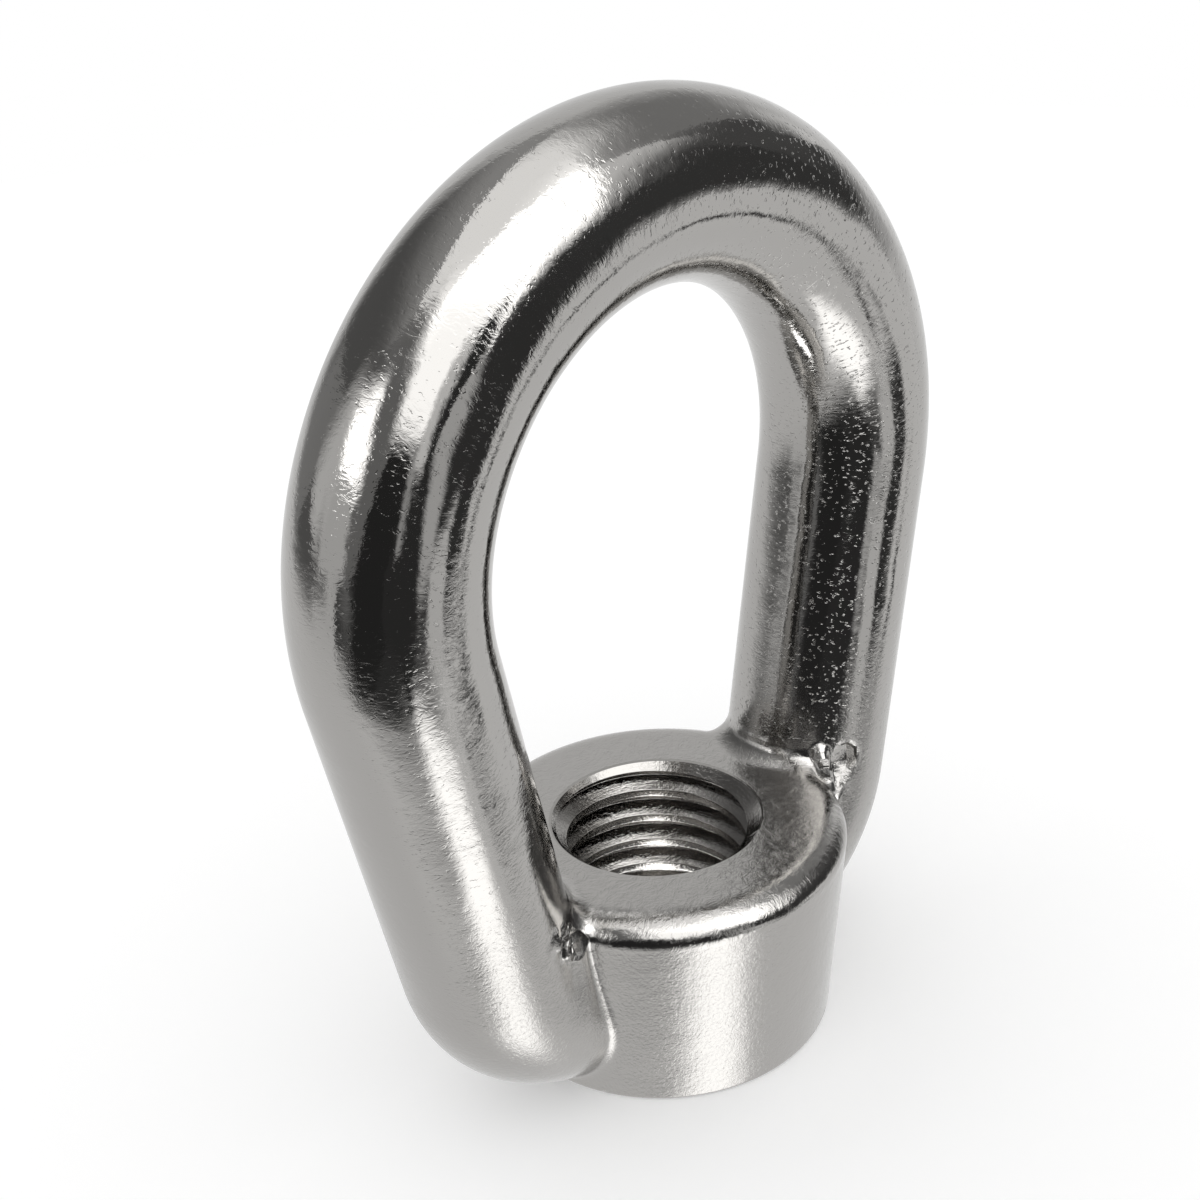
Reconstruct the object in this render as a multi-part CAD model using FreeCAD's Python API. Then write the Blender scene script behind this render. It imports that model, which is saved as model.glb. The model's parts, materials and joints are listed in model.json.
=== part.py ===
import FreeCAD, Part
import math
import os

# Lifting eye nut: one steel casting.  A round bar bent into a tall eye
# runs down on both sides into a turned hub, which has a tapped hole
# through it along the vertical axis.
#
# Lengths are in mm.  The origin is the middle of the hub's underside,
# +Z points up through the eye, and the eye lies in the XZ plane.

# Driving dimensions: the hub and its hole
hub_diameter = 28.3
hub_height = 16.2
hub_draft_angle = 5.2
hub_shoulder = 1.3
facing_stock = 3.0
tapping_diameter = 13.5
countersink_diameter = 15.7
countersink_depth = 1.1

# Driving dimensions: the bar and the line that its middle follows
bar_diameter = 12.7
crown_radius = 22.2
crown_half_angle = 64.0
crown_centre_height = 40.9
flank_radius = 21.1
foot_bend_radius = 8.6
foot_stand_out = 3.1
foot_axis_height = 6.2

# Driving dimension: the cast fillet round each leg
leg_fillet = 1.0

NODE = "eye_nut"
TOUCH = 0.001
UP = FreeCAD.Vector(0, 0, 1)
ACROSS = FreeCAD.Vector(0, 1, 0)
ORIGIN = FreeCAD.Vector(0, 0, 0)


def in_plane(x, z):
    """A point of the plane that the eye lies in."""
    return FreeCAD.Vector(x, 0, z)


def from_centre(centre, radius, degrees):
    """The point on a circle of the eye's plane, with 0 degrees along +X and 90 up."""
    turn = math.radians(degrees)
    return centre + in_plane(radius * math.cos(turn), radius * math.sin(turn))


def arc_centres():
    """The centres of the crown, flank and foot bend arcs on the +X side."""
    crown = in_plane(0, crown_centre_height)
    flank = from_centre(crown, crown_radius - flank_radius, 90 - crown_half_angle)
    bend_reach = hub_diameter / 2 + foot_stand_out - foot_bend_radius
    bend = in_plane(bend_reach, foot_axis_height + foot_bend_radius)
    return crown, flank, bend


def leg_lean(flank_centre, bend_centre):
    """How far the leg leans in towards the hub, in degrees: it is tangent to both arcs."""
    rise = flank_centre - bend_centre
    direction = math.atan2(rise.z, rise.x)
    return math.degrees(math.acos((foot_bend_radius - flank_radius) / rise.Length) - direction)


def swept_arc(centre, radius, from_angle, to_angle):
    """The part of a ring that the round bar makes along an arc of the eye's plane."""
    start = from_centre(centre, radius, from_angle)
    turn = math.radians(from_angle)
    along = in_plane(-math.sin(turn), math.cos(turn))
    section = Part.Face(Part.Wire(Part.makeCircle(bar_diameter / 2, start, along)))
    return section.revolve(centre, -ACROSS, to_angle - from_angle)


def straight_run(start, end):
    """The round bar along a straight line."""
    return Part.makeCylinder(bar_diameter / 2, (end - start).Length, start, end - start)


def half_bar():
    """The bar on the +X side: crown, flank, straight leg, and the bend into the hub."""
    crown_centre, flank_centre, bend_centre = arc_centres()
    lean = leg_lean(flank_centre, bend_centre)
    crown_end = 90 - crown_half_angle
    crown = swept_arc(crown_centre, crown_radius, crown_end, 90)
    flank = swept_arc(flank_centre, flank_radius, -lean, crown_end)
    flank_end = from_centre(flank_centre, flank_radius, -lean)
    leg_end = from_centre(bend_centre, foot_bend_radius, -lean)
    leg = straight_run(flank_end, leg_end)
    bend = swept_arc(bend_centre, foot_bend_radius, -90, -lean)
    bend_end = from_centre(bend_centre, foot_bend_radius, -90)
    root = straight_run(bend_end, in_plane(0, foot_axis_height))
    return [crown, flank, leg, bend, root]


def hub_casting():
    """The hub as it is cast: drafted wall, rounded shoulder, stock to face off below."""
    top_radius = hub_diameter / 2
    shoulder_height = hub_height - hub_shoulder
    wall_height = shoulder_height + facing_stock
    foot_radius = top_radius - wall_height * math.tan(math.radians(hub_draft_angle))
    foot_centre = in_plane(0, -facing_stock)
    top_centre = in_plane(0, hub_height)
    wall_foot = in_plane(foot_radius, -facing_stock)
    wall_top = in_plane(top_radius, shoulder_height)
    shoulder_centre = in_plane(top_radius - hub_shoulder, shoulder_height)
    rim = shoulder_centre + in_plane(0, hub_shoulder)
    edges = [
        Part.makeLine(foot_centre, wall_foot),
        Part.makeLine(wall_foot, wall_top),
        Part.Arc(wall_top, from_centre(shoulder_centre, hub_shoulder, 45), rim).toShape(),
        Part.makeLine(rim, top_centre),
        Part.makeLine(top_centre, foot_centre),
    ]
    return Part.Face(Part.Wire(edges)).revolve(ORIGIN, UP, 360)


def hole():
    """The tapping hole through the hub, with a countersink at each end."""
    bore_radius = tapping_diameter / 2
    mouth_radius = countersink_diameter / 2
    outline = Part.makePolygon([
        in_plane(0, 0),
        in_plane(mouth_radius, 0),
        in_plane(bore_radius, countersink_depth),
        in_plane(bore_radius, hub_height - countersink_depth),
        in_plane(mouth_radius, hub_height),
        in_plane(0, hub_height),
        in_plane(0, 0),
    ])
    return Part.Face(outline).revolve(ORIGIN, UP, 360)


def below_underside():
    """Everything under the plane that the hub is faced to."""
    reach = crown_radius + bar_diameter + hub_diameter
    corner = FreeCAD.Vector(-reach, -reach, -reach)
    return Part.makeBox(2 * reach, 2 * reach, reach, corner)


def creases(body, bar, hub):
    """The edges of the body that lie on the bar and on the hub."""
    found = []
    for edge in body.Edges:
        middle = edge.valueAt((edge.FirstParameter + edge.LastParameter) / 2)
        mark = Part.Vertex(middle)
        on_bar = bar.Shells[0].distToShape(mark)[0] < TOUCH
        on_hub = hub.Shells[0].distToShape(mark)[0] < TOUCH
        if on_bar and on_hub:
            found.append(edge)
    return found


def eye_nut():
    """The casting, with fillets where bar and hub meet, then its underside faced and its hole."""
    right = half_bar()
    left = [piece.mirror(ORIGIN, in_plane(1, 0)) for piece in right]
    bar = right[0].multiFuse(right[1:] + left).removeSplitter()
    hub = hub_casting()
    casting = bar.fuse(hub).removeSplitter()
    casting = casting.makeFillet(leg_fillet, creases(casting, bar, hub))
    return casting.cut(below_underside()).cut(hole()).Solids[0]


os.makedirs("parts", exist_ok=True)
nut = eye_nut()
print(NODE, nut.ShapeType, len(nut.Solids), "solid", len(nut.Faces), "faces", nut.isValid())
print("volume", round(nut.Volume), "mm3, box", nut.BoundBox)
nut.exportStep(os.path.join("parts", NODE + ".step"))
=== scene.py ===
import json
import math

import bmesh
import bpy
import numpy as np
from mathutils import Matrix, Vector


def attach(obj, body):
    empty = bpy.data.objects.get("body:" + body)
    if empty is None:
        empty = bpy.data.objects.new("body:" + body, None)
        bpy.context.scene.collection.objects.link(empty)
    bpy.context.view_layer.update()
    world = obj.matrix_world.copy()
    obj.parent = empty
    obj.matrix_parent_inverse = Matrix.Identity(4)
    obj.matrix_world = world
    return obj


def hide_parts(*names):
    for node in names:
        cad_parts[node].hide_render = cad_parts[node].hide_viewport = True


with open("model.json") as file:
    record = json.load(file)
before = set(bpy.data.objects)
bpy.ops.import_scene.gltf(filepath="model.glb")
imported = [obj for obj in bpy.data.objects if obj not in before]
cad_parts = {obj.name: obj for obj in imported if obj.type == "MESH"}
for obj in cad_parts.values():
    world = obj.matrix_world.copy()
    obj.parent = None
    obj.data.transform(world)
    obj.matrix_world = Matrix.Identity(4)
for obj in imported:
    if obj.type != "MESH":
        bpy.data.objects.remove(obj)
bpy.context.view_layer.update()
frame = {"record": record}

# A lifting eye nut: a round bar bent into a tall eye, cast in one with a turned, tapped hub.
# Lengths here are in mm, in the part's own frame, and become metres when a mesh is finished.
MM = 0.001
FULL_TURN = 2 * math.pi
QUARTER_TURN = math.pi / 2

# The hub: its wall runs up and out to the edge at which its rim begins
hub_radius = 14.15
hub_height = 16.2
hub_draft = math.radians(5.2)
rim_edge_height = 14.82

# The tapped hole, the shape of its thread, and the height and turn at which one crest passes
thread_minor_radius = frame["record"]["mounts"][0]["dims"]["r_mm"]
thread_pitch = 2.309
thread_depth = 1.2
half_crest = thread_pitch * 0.13
half_root = thread_pitch * 0.08
crest_easing = 0.09
first_crest_height = 13.78
first_crest_turn = math.radians(46.7)
countersink_radius = 7.77

# The tap starts and ends outside the hub, and so do the countersinks' cones
turns_below = 8
spare_turns = 4
tap_overshoot = 2
cone_overshoot = 1.0
cone_depth = 4.0

# The bar and the arcs that its middle line follows on the +X side
bar_radius = 6.35
crown_radius = 22.2
crown_height = 40.9
crown_half_angle = math.radians(64)
flank_radius = 21.1
bend_radius = 8.6
bend_stand_out = 3.1
foot_axis_height = 6.2

# The hub's top face falls off a little to the back, and polishing has rolled it over at its rim,
# gently at first and then more tightly, down to a crisp edge with the wall
face_rise = 0.05
face_fall = 0.019
first_roll = 2.6
second_roll = 1.65
roll_change = math.radians(47)
roll_end_cosines = (-0.3, 0.6)
edge_softness = 0.1
underside_softness = 0.3

# The cast fillet round each leg is small at the wall and grows over the rim, on the inner side
crease_fillet = 0.5
inner_fillet = 1.4
fillet_growth = (14.2, 16.2)

# The legs swell where they come close to the hub, most of all just under its rim
foot_flare = 0.8
flare_reach = (0.2, 3.0)
flare_rise = (8.0, 14.5)
flare_end = (14.8, 17.0)

# The thin bead along the upper edge of the fillet, inside each leg
bead_half_length = 2.1
bead_radius = 0.12
bead_fade = 0.4
bead_stop = 10
bead_blend = 0.08

# The drip in the left corner: folds of metal over a rolled foot. Each is a rod between two
# places, given to the right, up and outwards from the drip's middle, with its two radii
drip_middle = np.array((-14.44, -5.67, 15.69))
drip_right = np.array((0.73, -0.68, 0.0))
drip_up = np.array((0.32, 0.34, 0.88))
drip_foot = ((-0.45, -0.62, 0.45), (0.62, -0.80, -0.45), 0.52, 0.62)
drip_folds = (
    ((-0.95, 1.30, 1.95), (-0.98, 0.10, 1.75), 0.34, 0.46),
    ((-0.42, 1.35, 1.10), (-0.35, -0.30, 0.75), 0.24, 0.34),
    ((0.30, 1.00, 0.05), (0.80, -0.25, -0.50), 0.44, 0.58),
)
fold_blend = 0.22
drip_blend = 0.15

# The ground ridge in the right corner, with the groove and the pocket on its two sides
ridge_line = ((13.45, -4.75, 17.05), (12.95, -5.75, 15.9), (12.5, -6.65, 14.9))
ridge_radii = (0.42, 0.34)
ridge_bend_blend = 0.1
ridge_blend = 0.6
groove_line = ((12.55, -4.75, 16.5), (12.2, -6.3, 15.8))
groove_radii = (0.20, 0.10)
pocket_line = ((15.15, -5.75, 16.1), (14.05, -5.85, 13.5))
pocket_radii = (1.25, 0.35)
cut_softness = 0.05

# How finely the casting is meshed, how closely it keeps inside the solid, how far its points
# are evened out at each round, and the angle from which an edge is drawn sharp
grain_of_mesh = 0.5
skin_allowance = 0.03
evening = 0.5
first_rounds = 6
later_rounds = 3
sharp_angle = math.radians(32)

# The bar's own finish fades in over this distance from the hub
finish_start = 0.4
finish_width = 1.6

# The view of the photograph, as a camera turned about a point beside the hub's axis
aim_point = (-4.77, 0.0, 33.99)
view_distance = 127.2
view_turn = math.radians(-43.25)
view_tilt = math.radians(28.08)
view_roll = math.radians(-3.67)
view_lens = 55.76
view_shift = (0.0022, 0.0237)
view_start = 0.005
sensor_width = 36.0


def arc_point(centre, radius, angle):
    """A point on an arc of the eye's plane, as x and z."""
    return centre[0] + radius * math.cos(angle), centre[1] + radius * math.sin(angle)


def middle_line():
    """The centres of the crown, flank and bend arcs, and how far the leg leans in."""
    crown = (0.0, crown_height)
    flank = arc_point(crown, crown_radius - flank_radius, QUARTER_TURN - crown_half_angle)
    bend = (hub_radius + bend_stand_out - bend_radius, foot_axis_height + bend_radius)
    run = (flank[0] - bend[0], flank[1] - bend[1])
    lean = math.acos((bend_radius - flank_radius) / math.hypot(*run)) - math.atan2(run[1], run[0])
    return crown, flank, bend, lean


crown_centre, flank_centre, bend_centre, leg_lean = middle_line()
crown_end = QUARTER_TURN - crown_half_angle
flank_foot = arc_point(flank_centre, flank_radius, -leg_lean)
bend_head = arc_point(bend_centre, bend_radius, -leg_lean)
bend_foot = arc_point(bend_centre, bend_radius, -QUARTER_TURN)


def new_object(name, data):
    """An object in the scene, for a mesh or a camera."""
    piece = bpy.data.objects.new(name, data)
    bpy.context.scene.collection.objects.link(piece)
    return piece


def finished_mesh(name, bm):
    """A mesh from a bmesh, with its doubles merged and its faces turned outwards."""
    bmesh.ops.remove_doubles(bm, verts=bm.verts, dist=0.001)
    bmesh.ops.recalc_face_normals(bm, faces=bm.faces)
    mesh = bpy.data.meshes.new(name)
    bm.to_mesh(mesh)
    bm.free()
    return mesh


def apply_modifier(piece, kind, **settings):
    """Gives the piece a modifier and keeps the mesh that it makes."""
    modifier = piece.modifiers.new(kind.lower(), kind)
    for key, value in settings.items():
        setattr(modifier, key, value)
    bpy.context.view_layer.update()
    shown = piece.evaluated_get(bpy.context.evaluated_depsgraph_get())
    mesh = bpy.data.meshes.new_from_object(shown)
    piece.modifiers.clear()
    piece.data = mesh


def of_kind(kind, geometry):
    """Those of some elements of a bmesh that are of one kind."""
    return [element for element in geometry if isinstance(element, kind)]


def bar_blank(bm):
    """The bent bar: a round section carried down the +X side of the eye, then mirrored."""
    top = crown_height + crown_radius
    stand = Matrix.Translation((0, 0, top)) @ Matrix.Rotation(QUARTER_TURN, 4, "Y")
    bmesh.ops.create_circle(bm, cap_ends=False, segments=64, radius=bar_radius, matrix=stand)

    def bend(section, centre, angle, steps):
        turned = bmesh.ops.spin(bm, geom=section, cent=(centre[0], 0, centre[1]), axis=(0, 1, 0),
                                angle=angle, steps=steps, use_duplicate=False)
        return of_kind(bmesh.types.BMEdge, turned["geom_last"])

    def run(section, move):
        out = bmesh.ops.extrude_edge_only(bm, edges=section)["geom"]
        bmesh.ops.translate(bm, verts=of_kind(bmesh.types.BMVert, out), vec=move)
        return of_kind(bmesh.types.BMEdge, out)

    section = bend(bm.edges[:], crown_centre, crown_half_angle, 40)
    section = bend(section, flank_centre, crown_end + leg_lean, 20)
    section = run(section, (bend_head[0] - flank_foot[0], 0, bend_head[1] - flank_foot[1]))
    section = bend(section, bend_centre, QUARTER_TURN - leg_lean, 24)
    run(section, (-bend_centre[0], 0, 0))
    bmesh.ops.mirror(bm, geom=bm.verts[:] + bm.edges[:] + bm.faces[:], axis="X", merge_dist=0.001)


def spun(bm, outline, **settings):
    """An outline of x and z places, spun round the hole's axis."""
    verts = [bm.verts.new((x, 0, z)) for x, z in outline]
    edges = [bm.edges.new(pair) for pair in zip(verts, verts[1:])]
    bmesh.ops.spin(bm, geom=verts + edges, cent=(0, 0, 0), axis=(0, 0, 1), **settings)


def hub_blank(bm):
    """The turned hub, from its outline."""
    foot = hub_radius - rim_edge_height * math.tan(hub_draft)
    inner = hub_radius - second_roll
    outline = [(0, 0), (foot, 0), (hub_radius, rim_edge_height), (inner, hub_height),
               (0, hub_height)]
    spun(bm, outline, angle=FULL_TURN, steps=96, use_merge=True)


def eased_corner(before, corner, after, radius):
    """Four points that ease a corner of an outline to about the given radius."""
    corner = Vector(corner)
    back, forward = (Vector(before) - corner).normalized(), (Vector(after) - corner).normalized()
    reach = radius / math.tan(back.angle(forward) / 2)
    a, b = corner + back * reach, corner + forward * reach
    return [tuple(a.lerp(corner, t).lerp(corner.lerp(b, t), t)) for t in (0, 1 / 3, 2 / 3, 1)]


def thread_cutter():
    """The tap: a ridged spiral one pitch high per turn, longer than the hub is high."""
    flank = thread_pitch / 2 - half_crest - half_root
    minor, major = thread_minor_radius, thread_minor_radius + thread_depth
    corners = [(minor, 0), (minor, 2 * half_crest), (major, 2 * half_crest + flank),
               (major, 2 * half_crest + flank + 2 * half_root), (minor, thread_pitch),
               (minor, thread_pitch + 2 * half_crest)]
    ridge = [(minor, half_crest)]
    for corner in range(1, 5):
        ridge += eased_corner(*corners[corner - 1:corner + 2], crest_easing)
    ridge.append((minor, thread_pitch + half_crest))
    turns = math.ceil(hub_height / thread_pitch) + spare_turns
    steps = 96
    crest_turns = first_crest_turn / FULL_TURN + turns_below
    start = first_crest_height - half_crest - thread_pitch * crest_turns
    bm = bmesh.new()
    spun(bm, [(x, start + z) for x, z in ridge], angle=FULL_TURN * turns, steps=steps * turns,
         dvec=(0, 0, thread_pitch / steps))
    bmesh.ops.remove_doubles(bm, verts=bm.verts, dist=0.005)
    ends = ((-tap_overshoot, {"clear_inner": True}),
            (hub_height + tap_overshoot, {"clear_outer": True}))
    for height, side in ends:
        bmesh.ops.bisect_plane(bm, geom=bm.verts[:] + bm.edges[:] + bm.faces[:], dist=0.0001,
                               plane_co=(0, 0, height), plane_no=(0, 0, 1), **side)
    bmesh.ops.holes_fill(bm, edges=[e for e in bm.edges if e.is_boundary], sides=0)
    return new_object("tap", finished_mesh("tap", bm))


def countersink_cutter():
    """Two cones, one for each mouth of the hole."""
    bm = bmesh.new()
    wide = countersink_radius + cone_overshoot
    for height, way, turn in ((hub_height, 1, 0), (0, -1, math.pi)):
        cone = bmesh.ops.create_cone(bm, cap_ends=True, segments=128, radius1=wide - cone_depth,
                                     radius2=wide, depth=cone_depth)
        move = Matrix.Translation((0, 0, height + way * (cone_overshoot - cone_depth / 2)))
        bmesh.ops.transform(bm, matrix=move @ Matrix.Rotation(turn, 4, "X"), verts=cone["verts"])
    return new_object("countersinks", finished_mesh("countersinks", bm))


def smooth_step(value, low, high):
    """From 0 at one value to 1 at another, with a soft start and end."""
    share = np.clip((value - low) / (high - low), 0, 1)
    return share * share * (3 - 2 * share)


def blended(a, b, radius):
    """Two depths joined with a cast fillet of the given radius."""
    hollow = np.hypot(np.maximum(radius - a, 0), np.maximum(radius - b, 0))
    return np.maximum(radius, np.minimum(a, b)) - hollow


def rounded_edge(a, b, radius):
    """The part that two depths share, its edge eased to the given radius."""
    return -blended(-a, -b, radius)


def rod_depth(p, start, end, radius_start, radius_end):
    """How far each point is outside a round-ended rod that tapers from one radius to another."""
    start, run = np.array(start), np.array(end) - np.array(start)
    share = np.clip(((p - start) @ run) / (run @ run), 0, 1)
    gap = np.linalg.norm(p - start - share[:, None] * run, axis=1)
    return gap - (radius_start + (radius_end - radius_start) * share)


def nearest_on_line(x, z):
    """For points of the eye's plane: distance to the bar's middle line, how far along it
    from the crown, and how far outside it."""
    x = np.abs(x)
    found = [np.full(x.shape, np.inf), np.zeros(x.shape), np.zeros(x.shape)]

    def keep(distance, along, outside):
        nearer = distance < found[0]
        for slot, value in zip(found, (distance, along, outside)):
            slot[nearer] = value[nearer]

    def arc(centre, radius, low, high, start):
        out, up = x - centre[0], z - centre[1]
        angle = np.clip(np.arctan2(up, out), low, high)
        gap = np.hypot(out - radius * np.cos(angle), up - radius * np.sin(angle))
        keep(gap, start + radius * (high - angle), np.hypot(out, up) - radius)
        return start + radius * (high - low)

    def straight(a, b, start):
        length = math.hypot(b[0] - a[0], b[1] - a[1])
        ux, uz = (b[0] - a[0]) / length, (b[1] - a[1]) / length
        along = np.clip((x - a[0]) * ux + (z - a[1]) * uz, 0, length)
        gap = np.hypot(x - a[0] - along * ux, z - a[1] - along * uz)
        keep(gap, start + along, (z - a[1]) * ux - (x - a[0]) * uz)
        return start + length

    at = arc(crown_centre, crown_radius, crown_end, QUARTER_TURN, 0.0)
    at = arc(flank_centre, flank_radius, -leg_lean, crown_end, at)
    at = straight(flank_foot, bend_head, at)
    at = arc(bend_centre, bend_radius, -QUARTER_TURN, -leg_lean, at)
    straight(bend_foot, (0.0, foot_axis_height), at)
    return found


def bar_depth(p):
    """How far each point is outside the bar."""
    distance = nearest_on_line(p[:, 0], p[:, 2])[0]
    return np.hypot(distance, p[:, 1]) - (bar_radius - skin_allowance)


def leg_depth(p, hub):
    """How far each point is outside the bar, swollen where its legs come close to the hub."""
    near = 1 - smooth_step(hub, *flare_reach)
    high = smooth_step(p[:, 2], *flare_rise) * (1 - smooth_step(p[:, 2], *flare_end))
    return bar_depth(p) - foot_flare * near * high


def top_depth(p):
    """How far each point is outside the hub's top face and the two rolls of its rim."""
    face = hub_height + face_rise - face_fall * (p[:, 0] + p[:, 1]) / math.sqrt(2)
    gentle, tight = first_roll * (1 - math.cos(roll_change)), first_roll - second_roll
    last = math.cos(roll_change) - (face - rim_edge_height - gentle) / second_roll
    last = np.arccos(np.clip(last, *roll_end_cosines))
    start = hub_radius - tight * math.sin(roll_change) - second_roll * np.sin(last)
    out, up = np.hypot(p[:, 0], p[:, 1]) - start, p[:, 2] - face + first_roll
    first = np.hypot(out, up) - first_roll
    second = np.hypot(np.maximum(out - tight * math.sin(roll_change), 0),
                      np.maximum(up - tight * math.cos(roll_change), 0))
    rolled = np.where(np.arctan2(out, up) < roll_change, first, second - second_roll)
    return np.where(out < 0, up - first_roll, rolled)


def hub_depth(p):
    """How far each point is outside the hub, rolled over at its rim."""
    reach = np.hypot(p[:, 0], p[:, 1])
    wall = reach - hub_radius + skin_allowance + (rim_edge_height - p[:, 2]) * math.tan(hub_draft)
    return rounded_edge(wall, top_depth(p), edge_softness)


def bead_depth(bar, hub, p):
    """How far each point is outside the bead, which fades out along the leg and at the rim."""
    bead = np.hypot(bar, hub - inner_fillet) - bead_radius
    away = np.maximum(np.abs(p[:, 1]) - bead_half_length, 0) * bead_fade
    return bead + away + bead_stop * np.maximum(hub_height - p[:, 2], 0)


def drip_depth(p):
    """How far each point is outside the drip where the left leg meets the hub's rim."""
    drip_out = -np.cross(drip_up, drip_right)

    def fold_depth(start, end, radius_start, radius_end):
        ends = [drip_middle + drip_right * right + drip_up * up + drip_out * out
                for right, up, out in (start, end)]
        return rod_depth(p, *ends, radius_start, radius_end)

    whole = fold_depth(*drip_foot)
    for fold in drip_folds:
        whole = blended(whole, fold_depth(*fold), fold_blend)
    return whole


def ridge_depth(p):
    """How far each point is outside the ground ridge, which bends in its middle."""
    top, middle, foot = ridge_line
    half = (ridge_radii[0] + ridge_radii[1]) / 2
    return blended(rod_depth(p, top, middle, ridge_radii[0], half),
                   rod_depth(p, middle, foot, half, ridge_radii[1]), ridge_bend_blend)


def corner_depth(whole, bar, hub, p):
    """How far points near the rim's corners are outside the casting, with the marks on it."""
    corner = blended(whole, bead_depth(bar, hub, p), bead_blend)
    corner = blended(corner, drip_depth(p), drip_blend)
    corner = rounded_edge(corner, -rod_depth(p, *pocket_line, *pocket_radii), cut_softness)
    corner = blended(corner, ridge_depth(p), ridge_blend)
    return rounded_edge(corner, -rod_depth(p, *groove_line, *groove_radii), cut_softness)


def casting_depth(p):
    """How far each point is outside the whole casting, before its hole is cut."""
    from_bar, from_hub, corner_foot = 3, 6, 11
    hub = hub_depth(p)
    bar = leg_depth(p, hub)
    growth = smooth_step(p[:, 2], *fillet_growth)
    whole = blended(bar, hub, crease_fillet + (inner_fillet - crease_fillet) * growth)
    near = (np.abs(bar) < from_bar) & (np.abs(hub) < from_hub) & (p[:, 2] > corner_foot)
    whole[near] = corner_depth(whole[near], bar[near], hub[near], p[near])
    return rounded_edge(whole, -p[:, 2], underside_softness)


def slope_of(depth, p, step=0.004):
    """The outward direction of a depth at each point."""
    out = np.empty_like(p)
    for axis in range(3):
        move = np.zeros(3)
        move[axis] = step
        out[:, axis] = depth(p + move) - depth(p - move)
    return out / np.maximum(np.linalg.norm(out, axis=1), 1e-9)[:, None]


def places(mesh):
    """Where the mesh's points are, one row each."""
    p = np.empty(len(mesh.vertices) * 3)
    mesh.vertices.foreach_get("co", p)
    return p.reshape(-1, 3)


def set_places(mesh, p):
    """Moves the mesh's points to new places."""
    mesh.vertices.foreach_set("co", p.reshape(-1))
    mesh.update()


def settle(mesh, rounds):
    """Moves the mesh's points on to the true skin of the casting, evening them out between."""
    pairs = np.empty(len(mesh.edges) * 2, dtype=np.int64)
    mesh.edges.foreach_get("vertices", pairs)
    pairs = pairs.reshape(-1, 2)
    count = np.bincount(pairs.reshape(-1), minlength=len(mesh.vertices))[:, None]
    p = places(mesh)
    for turn in range(rounds):
        total = np.zeros_like(p)
        np.add.at(total, pairs[:, 0], p[pairs[:, 1]])
        np.add.at(total, pairs[:, 1], p[pairs[:, 0]])
        p = p + evening * (total / count - p)
        for step in range(2):
            p = p - casting_depth(p)[:, None] * slope_of(casting_depth, p)
    set_places(mesh, p)


def refine(mesh, wanted):
    """Cuts the edges in half wherever both of their ends are wanted."""
    bm = bmesh.new()
    bm.from_mesh(mesh)
    chosen = wanted(places(mesh))
    edges = [e for e in bm.edges if chosen[e.verts[0].index] and chosen[e.verts[1].index]]
    bmesh.ops.subdivide_edges(bm, edges=edges, cuts=1, use_grid_fill=True)
    bm.to_mesh(mesh)
    bm.free()


def on_hub(p):
    """Points of the hub's top and rim and of the creases round it."""
    rim_foot, from_bar, from_hub, beyond = 12.8, 1.8, 1.2, 2
    fine = (p[:, 2] > rim_foot) | (np.abs(bar_depth(p)) < from_bar)
    return fine & (hub_depth(p) < from_hub) & (np.abs(p[:, 0]) < hub_radius + beyond)


def at_foot_edge(p):
    """Points round the hub's lower edge."""
    edge_top, inside = 0.7, -0.8
    return (p[:, 2] < edge_top) & (hub_depth(p) > inside)


def at_creases(p):
    """Points of the corners where a leg rises over the hub's rim, but not those at the back."""
    from_bar, from_hub, corner_foot, back = 1.6, 3, 12.5, 4
    near = (np.abs(bar_depth(p)) < from_bar) & (hub_depth(p) < from_hub)
    return near & (p[:, 2] > corner_foot) & (p[:, 1] < back)


def near_marks(p, reach):
    """Points of the drip, and of the ridge and pocket opposite it, within a reach."""
    ridge_longer, ridge_foot = 0.3, 13
    drip = np.linalg.norm(p - drip_middle, axis=1) < reach
    ridge = np.linalg.norm(p - np.array(ridge_line[1]), axis=1) < reach + ridge_longer
    return drip | (ridge & (p[:, 2] > ridge_foot))


def at_marks(p):
    """Points of the marks and of the metal round them."""
    return near_marks(p, 2.5)


def close_to_marks(p):
    """Points of the marks alone."""
    return near_marks(p, 1.5)


def mark_bar_line(mesh):
    """Notes on every point where it lies along the straightened bar, in mm, and how much of
    the bar's own finish it has."""
    p = places(mesh)
    along, outside = nearest_on_line(p[:, 0], p[:, 2])[1:]
    line = np.stack([np.where(p[:, 0] < 0, -along, along), outside, p[:, 1]], axis=1)
    layer = mesh.attributes.new("bar_line", "FLOAT_VECTOR", "POINT")
    layer.data.foreach_set("vector", line.astype(np.float32).reshape(-1))
    share = np.clip((hub_depth(p) - finish_start) / finish_width, 0, 1)
    layer = mesh.attributes.new("bar_share", "FLOAT", "POINT")
    layer.data.foreach_set("value", share.astype(np.float32))


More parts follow.
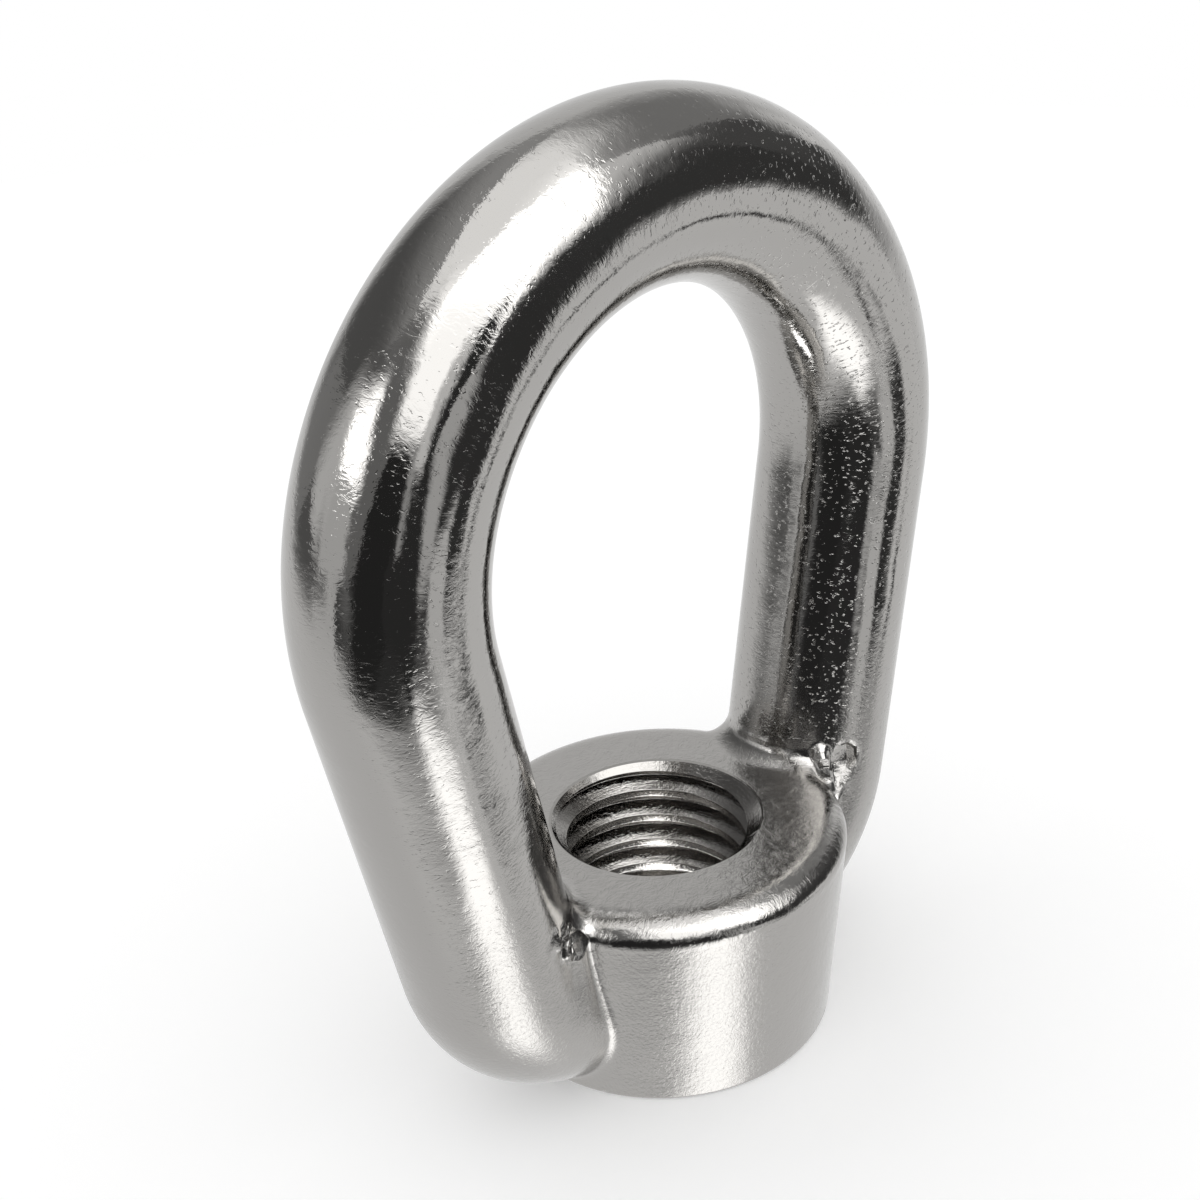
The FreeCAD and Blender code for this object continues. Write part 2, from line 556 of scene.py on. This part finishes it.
def casting():
    """The whole nut as one closed skin: bar and hub fused, filleted, tapped and countersunk."""
    bm = bmesh.new()
    bar_blank(bm)
    bmesh.ops.recalc_face_normals(bm, faces=bm.faces)
    hub_blank(bm)
    piece = new_object("eye_nut_casting", finished_mesh("eye_nut_casting", bm))
    apply_modifier(piece, "REMESH", mode="VOXEL", voxel_size=grain_of_mesh)
    settle(piece.data, first_rounds)
    for wanted in (on_hub, at_foot_edge, at_creases, at_foot_edge, at_marks, close_to_marks):
        refine(piece.data, wanted)
        settle(piece.data, later_rounds)
    for cutter in (thread_cutter(), countersink_cutter()):
        apply_modifier(piece, "BOOLEAN", operation="DIFFERENCE", solver="EXACT", object=cutter)
        bpy.data.objects.remove(cutter)
    mesh = piece.data
    mark_bar_line(mesh)
    set_places(mesh, places(mesh) * MM)
    mesh.polygons.foreach_set("use_smooth", [True] * len(mesh.polygons))
    mesh.set_sharp_from_angle(angle=sharp_angle)
    return piece


class Value:
    """A socket of a shader, with arithmetic that adds the Math nodes it needs."""

    def __init__(self, shader, socket):
        self.shader = shader
        self.socket = socket

    def _math(self, operation, *inputs):
        return self.shader.node("ShaderNodeMath", {"operation": operation}, inputs)

    def __add__(self, other):
        return self._math("ADD", self, other)

    def __radd__(self, other):
        return self._math("ADD", other, self)

    def __sub__(self, other):
        return self._math("SUBTRACT", self, other)

    def __rsub__(self, other):
        return self._math("SUBTRACT", other, self)

    def __mul__(self, other):
        return self._math("MULTIPLY", self, other)

    def __rmul__(self, other):
        return self._math("MULTIPLY", other, self)

    def __pow__(self, other):
        return self._math("POWER", self, other)

    def __abs__(self):
        return self._math("ABSOLUTE", self)


class Shader:
    """The node tree of a material or world, filled by plain expressions."""

    def __init__(self, owner):
        owner.use_nodes = True
        self.tree = owner.node_tree
        self.tree.nodes.clear()

    def node(self, kind, settings=None, inputs=(), output=0):
        """A node with its settings and its inputs' values or links, as one of its outputs."""
        made = self.tree.nodes.new(kind)
        for key, value in (settings or {}).items():
            setattr(made, key, value)
        pairs = inputs.items() if isinstance(inputs, dict) else enumerate(inputs)
        for key, value in pairs:
            if isinstance(value, Value):
                self.tree.links.new(value.socket, made.inputs[key])
            else:
                made.inputs[key].default_value = value
        return Value(self, made.outputs[output]) if made.outputs else None

    def show(self, surface):
        """Makes a surface the one that is seen."""
        self.node("ShaderNodeOutputMaterial", None, {"Surface": surface})

    def place(self):
        """The place on the nut, in mm."""
        here = self.node("ShaderNodeTexCoord", output="Object")
        return self.stretched(here, (1 / MM, 1 / MM, 1 / MM))

    def stretched(self, vector, scale):
        """A place stretched along each axis, so that a pattern on it grows finer there."""
        return self.node("ShaderNodeVectorMath", {"operation": "MULTIPLY"}, [vector, scale])

    def parts(self, vector):
        """The x, y and z of a place."""
        return [self.node("ShaderNodeSeparateXYZ", None, [vector], axis) for axis in range(3)]

    def joined(self, x, y, z):
        """A place from its x, y and z."""
        return self.node("ShaderNodeCombineXYZ", None, [x, y, z])

    def attribute(self, name, output):
        """What was noted on the mesh's points under a name."""
        return self.node("ShaderNodeAttribute", {"attribute_name": name}, output=output)

    def noise(self, vector, scale=1.0, detail=2.0, roughness=0.5, distortion=0.0):
        """A cloudy pattern, around 0.5."""
        return self.node("ShaderNodeTexNoise", None, {
            "Vector": vector, "Scale": scale, "Detail": detail, "Roughness": roughness,
            "Distortion": distortion}, "Fac")

    def ramp(self, value, low, high, at_low=0.0, at_high=1.0):
        """A smooth step from one value to another."""
        return self.node("ShaderNodeMapRange", {"interpolation_type": "SMOOTHSTEP"}, {
            "Value": value, "From Min": low, "From Max": high, "To Min": at_low,
            "To Max": at_high})

    def mixed(self, share, first, second):
        """From the first colour to the second one, by a share from 0 to 1."""
        return self.node("ShaderNodeMix", {"data_type": "RGBA"}, {0: share, 6: first, 7: second},
                         output=2)

    def glow(self, colour, strength):
        """A surface that gives light."""
        return self.node("ShaderNodeEmission", None, {"Color": colour, "Strength": strength})

    def bump(self, height, depth_mm, under=None):
        """A bump of the given depth in mm, over another one."""
        inputs = {"Height": height, "Distance": depth_mm * MM, "Strength": 1.0}
        if under is not None:
            inputs["Normal"] = under
        return self.node("ShaderNodeBump", None, inputs)


# The steel's colours, and where one finish passes into another: by the distance from the hole's
# axis or by the height, from none of the finish to all of it
steel_colour = (0.43, 0.42, 0.405, 1)
hole_colour = (0.35, 0.34, 0.325, 1)
hole_wall = (8.05, 7.95)
hole_top = (18.0, 17.5)
face_foot = (14.2, 14.6)
face_middle = (13.0, 11.0)
satin_heights = (34.0, 16.0)
satin_wander = 10.0

# Polishing strokes lie across the bar, so their pattern is fine along it and long round it. The
# flecks grow stronger to the right: from one X to another, and how strong they are at each
stroke_fineness = (2.4, 1.0, 1.0)
fleck_fineness = (4.0, 2.4, 2.4)
swirl_fineness = (1.0, 1.0, 0.5)
lathe_fineness = (6.0, 14.0, 0.12)
patch_edge = (0.35, 0.65)
fleck_edge = (0.60, 0.72)
flecks_to_the_right = (0.0, 14.0, 0.25, 1.0)

# How much of a mark is left where it is weakest
swell_on_hub = 0.25
strokes_between_patches = 0.35

# How rough each finish is, and how much the strokes and the top face's middle add to it
polished = 0.03
stroke_roughness = 0.04
satin_roughness = 0.12
face_roughness = 0.05
face_middle_roughness = 0.09

# How deep the marks are, in mm
swell_depth = 0.16
dent_depth = 0.03
stroke_depth = 0.014
fleck_depth = 0.02
satin_depth = 0.024
swirl_depth = 0.036
lathe_depth = 0.009


def steel(name):
    """Polished cast stainless steel: strokes and flecks on the bar, satin lower legs and wall,
    swirls on the hub's top face, lathe lines in the hole."""
    material = bpy.data.materials.new(name)
    s = Shader(material)
    place = s.place()
    x, y, z = s.parts(place)
    line = s.attribute("bar_line", "Vector")
    on_bar = s.attribute("bar_share", "Fac")
    reach = (x * x + y * y) ** 0.5
    in_hole = s.ramp(reach, *hole_wall) * s.ramp(z, *hole_top)
    on_top = s.ramp(z, *face_foot) * (1.0 - on_bar) * (1.0 - in_hole)

    patches = s.ramp(s.noise(place, scale=0.22), *patch_edge)
    strokes = s.noise(s.stretched(line, stroke_fineness), detail=3.0, roughness=0.6,
                      distortion=1.8)
    flecks = s.ramp(s.noise(s.stretched(line, fleck_fineness)), *fleck_edge)
    flecks = flecks * s.ramp(x, *flecks_to_the_right)
    swell = s.noise(place, scale=0.13, detail=1.0)
    dents = s.noise(place, scale=0.55)
    satin_grain = s.noise(place, scale=4.0, detail=3.0, roughness=0.6, distortion=0.8)
    swirls = s.noise(s.stretched(place, swirl_fineness), detail=4.0, roughness=0.6,
                     distortion=3.0)
    lathe = s.noise(s.stretched(s.joined(reach, z, x), lathe_fineness), detail=1.0)

    satin = s.ramp(z + satin_wander * swell, *satin_heights) * (1.0 - on_top)
    gloss = polished + stroke_roughness * strokes * on_bar
    gloss = gloss + satin_roughness * satin * (1.0 - in_hole)
    in_middle = face_middle_roughness * s.ramp(reach, *face_middle)
    gloss = gloss + on_top * (face_roughness + in_middle)
    waves = s.bump(swell * (swell_on_hub + (1.0 - swell_on_hub) * on_bar), swell_depth)
    waves = s.bump(dents, dent_depth, waves)
    patches = strokes_between_patches + (1.0 - strokes_between_patches) * patches
    waves = s.bump(strokes * on_bar * patches, stroke_depth, waves)
    waves = s.bump(flecks * on_bar, -fleck_depth, waves)
    waves = s.bump(satin_grain * satin, satin_depth, waves)
    waves = s.bump(swirls * on_top, swirl_depth, waves)
    waves = s.bump(lathe * in_hole, lathe_depth, waves)
    s.show(s.node("ShaderNodeBsdfPrincipled", None, {
        "Base Color": s.mixed(in_hole, steel_colour, hole_colour), "Metallic": 1.0,
        "Roughness": gloss, "Normal": waves}))
    return material


# The studio's screens and lamps, from the farthest to the nearest: where each stands, as
# degrees round from +Y towards +X and degrees up, its width and height, how far it is turned in
# its own plane, the width of its soft edge, and its brightness. Lengths are in metres, as they
# would be for the same look from 1 m away.
studio = (
    ("room_right", 37, 6, 6.8, 2.6, 15, 1.0, 0.78),
    ("room_left", -51, 19, 5.4, 2.0, -35, 0.8, 0.70),
    ("room_front", 116, 37, 2.2, 1.2, -54, 0.3, 0.95),
    ("ceiling", -28, 61, 2.2, 1.7, 10, 0.8, 0.45),
    ("skylight", -30, 88, 1.3, 1.1, 10, 0.8, 1.5),
    ("great_softbox", 184, 50, 2.2, 2.5, 23, 0.6, 2.9),
    ("softbox_skirt", 194, 19, 3.0, 0.3, -48, 0.6, 0.16),
    ("table_edge", -134, -9, 2.8, 1.3, -3, 0.8, 0.05),
    ("wall_right", 92, 44, 1.1, 0.75, 0, 0.55, 0.30),
    ("wall_right_low", 113, 25, 0.9, 0.5, 0, 0.35, 0.10),
    ("right_flag_low", 160, -6, 0.70, 0.72, 0, 0.12, 0.05),
    ("table_top", 124, -14, 0.5, 0.30, 0, 0.08, 0.90),
    ("table_line", 141, -30, 0.55, 0.05, 20, 0.04, 0.06),
    ("right_flag", 132, 10, 2.3, 0.62, 0, 0.30, 0.06),
    ("camera_screen", -103, 20, 0.95, 1.7, 25, 0.5, 0.22),
    ("camera_body", -127, 3, 0.95, 1.70, -8, 0.3, 0.03),
    ("tripod", -153, -9, 0.68, 0.68, 45, 0.08, 0.04),
    ("bag", -172, 8, 0.42, 0.75, 4, 0.06, 0.04),
    ("light_stand", -149, 10, 0.10, 0.70, -8, 0.08, 0.45),
    ("door_gap", -176, 0, 0.24, 0.66, 4, 0.12, 0.65),
    ("door_step", 170, -21, 0.30, 0.26, 0, 0.08, 0.80),
    ("softbox_tail", -146, 37, 0.62, 0.50, -28, 0.22, 2.2),
    ("softbox_tail_low", -160, 20, 0.16, 0.42, -28, 0.10, 0.95),
    ("left_flag", -28, 30, 1.6, 1.0, 12, 0.7, 0.13),
    ("left_screen", -34, 13, 1.1, 0.9, -15, 0.25, 0.30),
    ("left_flag_low", -46, 0, 1.1, 0.30, -4, 0.15, 0.14),
    ("window", -80, 26, 0.56, 0.44, 19, 0.2, 3.2),
    ("window_sill", -78, 8, 0.56, 0.46, 2, 0.10, 0.70),
    ("strip_lamp", -56, 17, 0.40, 0.66, -30, 0.30, 0.80),
    ("floor_grey_right", 78, -42, 4.4, 1.7, 43, 1.2, 0.88),
    ("floor_grey_left", -17, -54, 2.6, 2.0, -38, 1.2, 0.84),
    ("floor_lamp", -170, -52, 0.45, 0.60, -10, 0.20, 2.4),
)
studio_distance = 2.0
studio_step = 0.02
white = (1, 1, 1, 1)

# The floor, in metres, with a little light of its own that lifts it to white
floor_radius = 0.3
floor_colour = (0.8, 0.8, 0.8, 1)
floor_glow = 0.25

# The painted shade under the hole: a dark disk that glows, standing in for the floor in the nut's
# own shade. How far below the underside it lies, and the soft edge of its painted streak of light,
# in mm
shade_drop = 0.05
# Painted shade and light: the dark colour the disk glows with, and the strength of the glow, which
# makes its streak a painted highlight
painted_shade_colour = (0.02, 0.02, 0.02, 1)
painted_streak_edge = (3.4, 1.6)
painted_streak_strength = 6.0


def only_reflected(piece):
    """Lets nothing but the metal's reflections show a piece."""
    for ray in ("camera", "diffuse", "shadow", "transmission", "volume_scatter"):
        setattr(piece, "visible_" + ray, False)


def disk(name, radius, segments, height=0.0):
    """A flat round piece."""
    bm = bmesh.new()
    bmesh.ops.create_circle(bm, cap_ends=True, segments=segments, radius=radius)
    bmesh.ops.translate(bm, vec=(0, 0, height), verts=bm.verts)
    return new_object(name, finished_mesh(name, bm))


def studio_card(name, order, around, up, width, height, roll, edge, level):
    """A flat screen or lamp with a soft edge, that only the metal's reflections show."""
    around, up = math.radians(around), math.radians(up)
    width, height = width + edge, height + edge
    distance = studio_distance - order * studio_step
    back = Vector((math.sin(around) * math.cos(up), math.cos(around) * math.cos(up),
                   math.sin(up)))
    right = Vector((math.cos(around), -math.sin(around), 0))
    stretch = Matrix.Diagonal((width * distance / 2, height * distance / 2, 1, 1))
    lean = Matrix.Rotation(math.radians(roll), 4, "Z")
    turn = Matrix((right, back.cross(right), back)).transposed().to_4x4()
    bm = bmesh.new()
    bm.loops.layers.uv.new("card")
    bmesh.ops.create_grid(bm, x_segments=1, y_segments=1, size=1.0, calc_uvs=True)
    bmesh.ops.transform(bm, matrix=Matrix.Translation(back * distance) @ turn @ lean @ stretch,
                        verts=bm.verts)
    piece = new_object(name, finished_mesh(name, bm))
    material = bpy.data.materials.new(name)
    s = Shader(material)
    u, v = s.parts(s.node("ShaderNodeUVMap", {"uv_map": "card"}))[:2]
    inside_u = (0.5 - abs(u - 0.5)) * (width / edge)
    inside_v = (0.5 - abs(v - 0.5)) * (height / edge)
    cover = s.ramp(inside_u, 0.0, 1.0) * s.ramp(inside_v, 0.0, 1.0)
    clear = s.node("ShaderNodeBsdfTransparent")
    s.show(s.node("ShaderNodeMixShader", None, [cover, clear, s.glow(white, level)]))
    piece.data.materials.append(material)
    only_reflected(piece)


def studio_world():
    """A white room, at the same plain level for the camera, the metal and the light."""
    world = bpy.data.worlds.new("studio")
    bpy.context.scene.world = world
    s = Shader(world)
    room = s.node("ShaderNodeBackground", None, {"Color": white, "Strength": 1.0})
    s.node("ShaderNodeOutputWorld", None, {"Surface": room})
    for order, (name, *card) in enumerate(studio):
        studio_card(name, order, *card)


def floor():
    """A round pale floor, white where the camera sees it, with the nut's shadow. The metal
    sees the white room through it."""
    piece = disk("floor", floor_radius, 96)
    material = bpy.data.materials.new("pale_floor")
    s = Shader(material)
    matt = s.node("ShaderNodeBsdfDiffuse", None, {"Color": floor_colour})
    lit = s.node("ShaderNodeAddShader", None, [matt, s.glow(white, floor_glow)])
    camera_ray, glossy_ray, transmission_ray = [
        s.node("ShaderNodeLightPath", output=kind)
        for kind in ("Is Camera Ray", "Is Glossy Ray", "Is Transmission Ray")]
    seen = camera_ray + glossy_ray + transmission_ray
    s.show(s.node("ShaderNodeMixShader", None, [seen, matt, lit]))
    piece.data.materials.append(material)
    piece.visible_glossy = False


def hole_shade():
    """A dark glowing disk under the hole's lower mouth, that only the metal's reflections show:
    painted shade for the floor in the nut's own shade, with a painted streak of light for the
    light that falls through the hole."""
    piece = disk("hole_shade", countersink_radius * MM, 64, -shade_drop * MM)
    material = bpy.data.materials.new("shaded_floor")
    s = Shader(material)
    x, y = s.parts(s.place())[:2]
    # Painted light: a bright glowing streak across the disk, whose rest glows dark as painted
    # shade
    painted_light_share = s.ramp(abs(x - y), *painted_streak_edge)
    s.show(s.glow(s.mixed(painted_light_share, painted_shade_colour, white), painted_streak_strength))
    piece.data.materials.append(material)
    only_reflected(piece)


def camera():
    """The photograph's view."""
    data = bpy.data.cameras.new("camera")
    data.sensor_width = sensor_width
    data.lens = view_lens
    data.shift_x, data.shift_y = view_shift
    data.clip_start = view_start
    back = Vector((math.sin(view_turn) * math.cos(view_tilt),
                   -math.cos(view_turn) * math.cos(view_tilt), math.sin(view_tilt)))
    right = Vector((math.cos(view_turn), math.sin(view_turn), 0))
    up = back.cross(right)
    rolled = math.cos(view_roll) * right + math.sin(view_roll) * up
    upright = math.cos(view_roll) * up - math.sin(view_roll) * right
    piece = new_object("camera", data)
    turn = Matrix((rolled, upright, back)).transposed().to_4x4()
    piece.matrix_world = Matrix.Translation((Vector(aim_point) + back * view_distance) * MM) @ turn
    bpy.context.scene.camera = piece


camera()
studio_world()
floor()
hole_shade()
nut = casting()
nut.data.materials.clear()
nut.data.materials.append(steel("polished_steel"))
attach(nut, "root")
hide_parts("eye_nut")
bpy.context.scene.view_settings.view_transform = "Standard"
